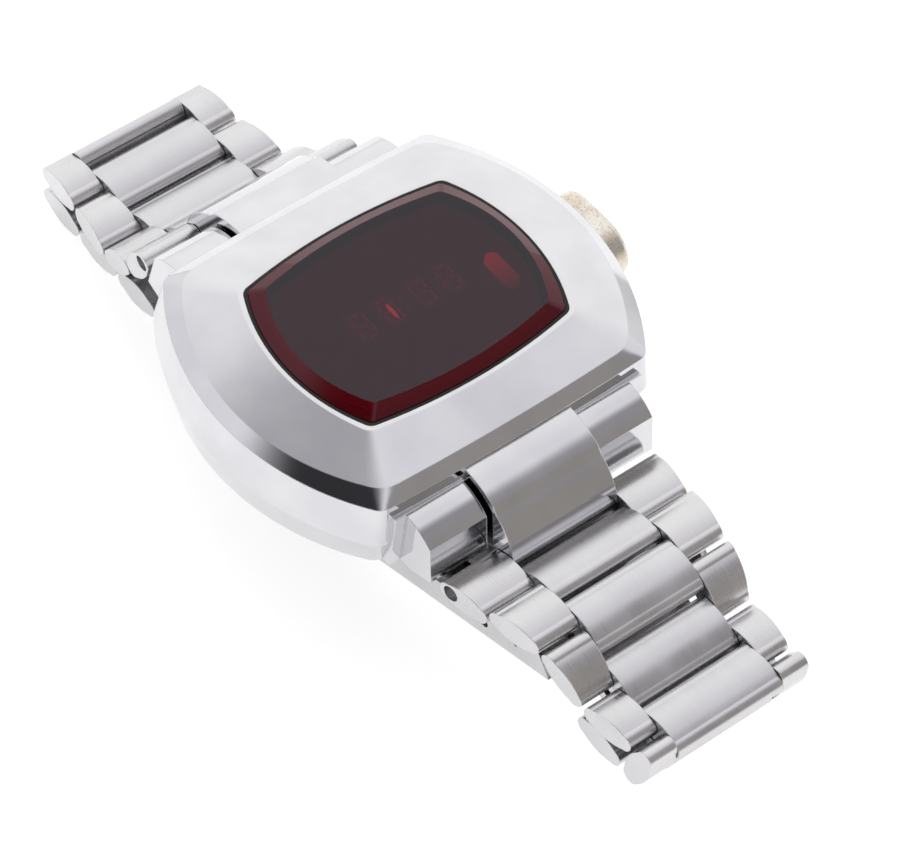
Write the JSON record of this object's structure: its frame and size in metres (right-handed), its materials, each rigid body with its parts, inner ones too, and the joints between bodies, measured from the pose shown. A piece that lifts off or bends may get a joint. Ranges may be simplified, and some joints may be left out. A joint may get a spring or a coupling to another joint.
{
  "type": "led wrist watch",
  "caption": "Cushion-shaped steel wrist watch with a dark red filter crystal, side push button and folded brick-pattern link bracelet.",
  "frame": {"origin": "Middle of the crystal's flat top face.", "axes": "+Z out of the dial, +Y towards the 12 side lug, +X towards the push button."},
  "size_m": [0.0454, 0.0905, 0.0228],
  "materials": {
    "case_steel": "satin steel with worn, finely scratched edges",
    "side_link_steel": "satin steel, brushed along the bracelet",
    "middle_link_steel": "brighter satin steel on the wide middle links",
    "cover_steel": "bright folded sheet steel",
    "blade_steel": "plain spring steel",
    "pin_steel": "plain turned pin steel",
    "back_steel": "satin steel",
    "screw_steel": "plain screw steel",
    "red_filter": "polished very dark red mineral glass",
    "seal_rubber": "black nitrile",
    "board_ceramic": "dark coated ceramic",
    "digit_red": "dark red encapsulated diode chips, unlit",
    "sensor_red": "clear red lens",
    "module_plastic": "moulded, matt",
    "chip_plastic": "moulded, matt",
    "can_steel": "drawn bright metal",
    "contact_brass": "bare spring brass",
    "button_metal": "worn, yellowish grey steel cap",
    "magnet_grey": "plain sintered magnet"
  },
  "bodies": {
    "case": {"case_shell": "case_steel", "crystal_gasket": "seal_rubber", "filter_crystal": "red_filter", "display_board": "board_ceramic", "led_digits": "digit_red", "light_sensor": "sensor_red", "module_block": "module_plastic", "timing_chip": "chip_plastic", "quartz_can": "can_steel", "power_cells": "can_steel", "cell_contacts": "contact_brass", "case_back": "back_steel", "back_seal": "seal_rubber", "back_screws": "screw_steel", "battery_hatch": "back_steel", "hatch_screws": "screw_steel", "lug_bars": "pin_steel", "button_seal": "seal_rubber", "button_spring": "pin_steel", "switch_leaf": "contact_brass"},
    "button": {"push_button": "button_metal", "button_clip": "pin_steel"},
    "six_side_pair_1": {"six_outer_1": "side_link_steel"},
    "six_middle_1": {"six_centre_1": "middle_link_steel"},
    "six_side_pair_2": {"six_outer_2": "side_link_steel"},
    "six_middle_2": {"six_centre_2": "middle_link_steel"},
    "six_side_pair_3": {"six_outer_3": "side_link_steel"},
    "six_middle_3": {"six_centre_3": "middle_link_steel"},
    "six_side_pair_4": {"six_outer_4": "side_link_steel"},
    "six_middle_4": {"six_centre_4": "middle_link_steel"},
    "six_side_pair_5": {"six_outer_5": "side_link_steel"},
    "six_middle_5": {"six_centre_5": "middle_link_steel"},
    "twelve_side_pair_1": {"twelve_outer_1": "side_link_steel"},
    "twelve_middle_1": {"twelve_centre_1": "middle_link_steel"},
    "twelve_side_pair_2": {"twelve_outer_2": "side_link_steel"},
    "twelve_middle_2": {"twelve_centre_2": "middle_link_steel"},
    "twelve_side_pair_3": {"twelve_outer_3": "side_link_steel"},
    "twelve_middle_3": {"twelve_centre_3": "middle_link_steel"},
    "twelve_side_pair_4": {"twelve_outer_4": "side_link_steel"},
    "twelve_middle_4": {"twelve_centre_4": "middle_link_steel"},
    "twelve_side_pair_5": {"twelve_outer_5": "side_link_steel"},
    "twelve_middle_5": {"twelve_centre_5": "middle_link_steel"},
    "twelve_side_pair_6": {"twelve_outer_6": "side_link_steel"},
    "twelve_middle_6": {"twelve_centre_6": "middle_link_steel"},
    "twelve_side_pair_7": {"twelve_outer_7": "side_link_steel"},
    "twelve_middle_7": {"twelve_centre_7": "middle_link_steel"},
    "twelve_side_pair_8": {"twelve_outer_8": "side_link_steel"},
    "twelve_middle_8": {"twelve_centre_8": "middle_link_steel"},
    "twelve_side_pair_9": {"twelve_outer_9": "side_link_steel"},
    "twelve_middle_9": {"twelve_centre_9": "middle_link_steel"},
    "twelve_side_pair_10": {"twelve_outer_10": "side_link_steel"},
    "twelve_middle_10": {"twelve_centre_10": "middle_link_steel"},
    "twelve_side_pair_11": {"twelve_outer_11": "side_link_steel"},
    "inner_blade": {"clasp_inner_blade": "blade_steel", "blade_hinge_pin": "pin_steel"},
    "middle_blade": {"clasp_middle_blade": "blade_steel"},
    "clasp_cover": {"clasp_cover": "cover_steel", "cover_hinge_pin": "pin_steel", "setting_magnet": "magnet_grey"},
    "clasp_end_pair": {"six_outer_6": "side_link_steel"}
  },
  "joints": [
    {"name": "button_press", "type": "slide", "parent": "case", "child": "button", "axis": [-1, 0, 0], "range_m": [0, 0.0009], "stiffness_N_per_m": 1500, "springref_m": -0.0006, "deforming": ["button_spring"]},
    {"name": "six_hinge_1", "type": "hinge", "parent": "case", "child": "six_side_pair_1", "pos_m": [0, -0.0231, -0.0102], "axis": [-1, 0, 0], "range_deg": [0, 12]},
    {"name": "six_hinge_2", "type": "hinge", "parent": "six_side_pair_1", "child": "six_middle_1", "pos_m": [0, -0.02613, -0.00988], "axis": [-1, 0, 0], "range_deg": [0, 8]},
    {"name": "six_hinge_3", "type": "hinge", "parent": "six_middle_1", "child": "six_side_pair_2", "pos_m": [0, -0.02898, -0.00879], "axis": [-1, 0, 0], "range_deg": [0, 20]},
    {"name": "six_hinge_4", "type": "hinge", "parent": "six_side_pair_2", "child": "six_middle_2", "pos_m": [0, -0.03202, -0.00858], "axis": [-1, 0, 0], "range_deg": [0, 22]},
    {"name": "six_hinge_5", "type": "hinge", "parent": "six_middle_2", "child": "six_side_pair_3", "pos_m": [0, -0.03501, -0.00921], "axis": [-1, 0, 0], "range_deg": [0, 32]},
    {"name": "six_hinge_6", "type": "hinge", "parent": "six_side_pair_3", "child": "six_middle_3", "pos_m": [0, -0.03741, -0.01109], "axis": [-1, 0, 0], "range_deg": [0, 6]},
    {"name": "six_hinge_7", "type": "hinge", "parent": "six_middle_3", "child": "six_side_pair_4", "pos_m": [0, -0.04037, -0.01183], "axis": [-1, 0, 0], "range_deg": [0, 8]},
    {"name": "six_hinge_8", "type": "hinge", "parent": "six_side_pair_4", "child": "six_middle_4", "pos_m": [0, -0.0434, -0.01151], "axis": [-1, 0, 0], "range_deg": [0, 12]},
    {"name": "six_hinge_9", "type": "hinge", "parent": "six_middle_4", "child": "six_side_pair_5", "pos_m": [0, -0.04645, -0.01151], "axis": [-1, 0, 0], "range_deg": [0, 108]},
    {"name": "six_hinge_10", "type": "hinge", "parent": "six_side_pair_5", "child": "six_middle_5", "pos_m": [0, -0.04551, -0.01441], "axis": [-1, 0, 0], "range_deg": [0, 69]},
    {"name": "twelve_hinge_1", "type": "hinge", "parent": "case", "child": "twelve_side_pair_1", "pos_m": [0, 0.0231, -0.0102], "axis": [1, 0, 0], "range_deg": [0, 55]},
    {"name": "twelve_hinge_2", "type": "hinge", "parent": "twelve_side_pair_1", "child": "twelve_middle_1", "pos_m": [0, 0.02472, -0.01279], "axis": [1, 0, 0], "range_deg": [0, 6]},
    {"name": "twelve_hinge_3", "type": "hinge", "parent": "twelve_middle_1", "child": "twelve_side_pair_2", "pos_m": [0, 0.02691, -0.01491], "axis": [1, 0, 0], "range_deg": [0, 8]},
    {"name": "twelve_hinge_4", "type": "hinge", "parent": "twelve_side_pair_2", "child": "twelve_middle_2", "pos_m": [0, 0.02925, -0.01687], "axis": [1, 0, 0], "range_deg": [0, 6]},
    {"name": "twelve_hinge_5", "type": "hinge", "parent": "twelve_middle_2", "child": "twelve_side_pair_3", "pos_m": [0, 0.03218, -0.01771], "axis": [1, 0, 0], "range_deg": [0, 8]},
    {"name": "twelve_hinge_6", "type": "hinge", "parent": "twelve_side_pair_3", "child": "twelve_middle_3", "pos_m": [0, 0.03523, -0.01771], "axis": [1, 0, 0], "range_deg": [0, 8]},
    {"name": "twelve_hinge_7", "type": "hinge", "parent": "twelve_middle_3", "child": "twelve_side_pair_4", "pos_m": [0, 0.03828, -0.01771], "axis": [1, 0, 0], "range_deg": [0, 12]},
    {"name": "twelve_hinge_8", "type": "hinge", "parent": "twelve_side_pair_4", "child": "twelve_middle_4", "pos_m": [0, 0.04132, -0.01792], "axis": [1, 0, 0], "range_deg": [0, 92]},
    {"name": "twelve_hinge_9", "type": "hinge", "parent": "twelve_middle_4", "child": "twelve_side_pair_5", "pos_m": [0, 0.041, -0.02095], "axis": [1, 0, 0], "range_deg": [0, 74]},
    {"name": "twelve_hinge_10", "type": "hinge", "parent": "twelve_side_pair_5", "child": "twelve_middle_5", "pos_m": [0, 0.038, -0.02148], "axis": [1, 0, 0], "range_deg": [0, 16]},
    {"name": "twelve_hinge_11", "type": "hinge", "parent": "twelve_middle_5", "child": "twelve_side_pair_6", "pos_m": [0, 0.03495, -0.02148], "axis": [1, 0, 0], "range_deg": [0, 5]},
    {"name": "twelve_hinge_12", "type": "hinge", "parent": "twelve_side_pair_6", "child": "twelve_middle_6", "pos_m": [0, 0.0319, -0.02148], "axis": [1, 0, 0], "range_deg": [0, 5]},
    {"name": "twelve_hinge_13", "type": "hinge", "parent": "twelve_middle_6", "child": "twelve_side_pair_7", "pos_m": [0, 0.02885, -0.02148], "axis": [1, 0, 0], "range_deg": [0, 5]},
    {"name": "twelve_hinge_14", "type": "hinge", "parent": "twelve_side_pair_7", "child": "twelve_middle_7", "pos_m": [0, 0.0258, -0.02148], "axis": [1, 0, 0], "range_deg": [0, 5]},
    {"name": "twelve_hinge_15", "type": "hinge", "parent": "twelve_middle_7", "child": "twelve_side_pair_8", "pos_m": [0, 0.02275, -0.02148], "axis": [1, 0, 0], "range_deg": [0, 5]},
    {"name": "twelve_hinge_16", "type": "hinge", "parent": "twelve_side_pair_8", "child": "twelve_middle_8", "pos_m": [0, 0.0197, -0.02148], "axis": [1, 0, 0], "range_deg": [0, 5]},
    {"name": "twelve_hinge_17", "type": "hinge", "parent": "twelve_middle_8", "child": "twelve_side_pair_9", "pos_m": [0, 0.01665, -0.02148], "axis": [1, 0, 0], "range_deg": [0, 5]},
    {"name": "twelve_hinge_18", "type": "hinge", "parent": "twelve_side_pair_9", "child": "twelve_middle_9", "pos_m": [0, 0.0136, -0.02148], "axis": [1, 0, 0], "range_deg": [0, 5]},
    {"name": "twelve_hinge_19", "type": "hinge", "parent": "twelve_middle_9", "child": "twelve_side_pair_10", "pos_m": [0, 0.01055, -0.02148], "axis": [1, 0, 0], "range_deg": [0, 5]},
    {"name": "twelve_hinge_20", "type": "hinge", "parent": "twelve_side_pair_10", "child": "twelve_middle_10", "pos_m": [0, 0.0075, -0.02148], "axis": [1, 0, 0], "range_deg": [0, 5]},
    {"name": "twelve_hinge_21", "type": "hinge", "parent": "twelve_middle_10", "child": "twelve_side_pair_11", "pos_m": [0, 0.00445, -0.02148], "axis": [1, 0, 0], "range_deg": [0, 5]},
    {"name": "inner_blade_hinge", "type": "hinge", "parent": "twelve_side_pair_11", "child": "inner_blade", "pos_m": [0, 0.0014, -0.02148], "axis": [1, 0, 0], "range_deg": [0, 25]},
    {"name": "blade_fold", "type": "hinge", "parent": "inner_blade", "child": "middle_blade", "pos_m": [0, -0.02534, -0.01408], "axis": [-1, 0, 0], "range_deg": [0, 120]},
    {"name": "cover_fold", "type": "hinge", "parent": "middle_blade", "child": "clasp_cover", "pos_m": [0, -0.00694, -0.02053], "axis": [1, 0, 0], "range_deg": [0, 120]},
    {"name": "clasp_end_hinge", "type": "hinge", "parent": "clasp_cover", "child": "clasp_end_pair", "pos_m": [0, -0.03945, -0.01483], "axis": [1, 0, 0], "range_deg": [0, 30]}
  ],
  "couplings": [
    {"joint": "cover_fold", "follows": "blade_fold", "ratio": 1}
  ]
}
